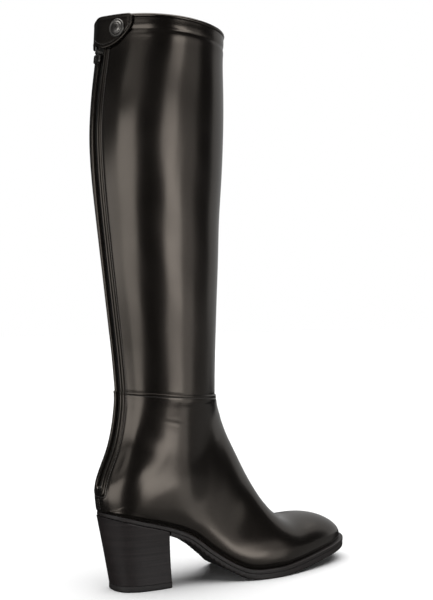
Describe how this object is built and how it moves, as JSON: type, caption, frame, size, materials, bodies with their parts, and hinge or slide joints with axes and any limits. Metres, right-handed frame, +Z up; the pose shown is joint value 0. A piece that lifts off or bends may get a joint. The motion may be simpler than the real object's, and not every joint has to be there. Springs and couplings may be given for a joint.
{
  "type": "knee-high boot",
  "caption": "Tall smooth black leather boot for the right foot, with a stacked block heel, an almond toe, a full-length zip up the back and a snap tab over its slider.",
  "frame": {"origin": "On the floor, on the flat underside of the heel's top lift, near its middle.", "axes": "+X points forward to the toe, +Y to the inner side of the foot and +Z up along the leg."},
  "size_m": [0.2647, 0.1088, 0.4665],
  "materials": {
    "upper": "smooth, semi-gloss",
    "shaft": "smooth, semi-gloss",
    "insole": "matt",
    "welt": "satin",
    "outsole": "satin",
    "heel": "stacked layers, waxed",
    "top_lift": "matt",
    "topline_bead": "smooth, semi-gloss",
    "zip_tape": "woven tape with a coil",
    "snap_tab": "smooth, semi-gloss",
    "snap_cap": "antique, dark",
    "zip_slider": "antique, dark",
    "zip_pull": "antique, dark"
  },
  "bodies": {
    "boot": {"upper": "upper", "shaft": "shaft", "insole": "insole", "welt": "welt", "outsole": "outsole", "heel": "heel", "top_lift": "top_lift", "topline_bead": "topline_bead", "zip_tape": "zip_tape", "snap_tab": "snap_tab", "snap_cap": "snap_cap", "zip_slider": "zip_slider"},
    "pull": {"zip_pull": "zip_pull"}
  },
  "joints": [
    {"name": "pull_swing", "type": "hinge", "parent": "boot", "child": "pull", "pos_m": [-0.04332, -0.00618, 0.43754], "axis": [0, 1, 0], "range_deg": [0, 90]}
  ]
}
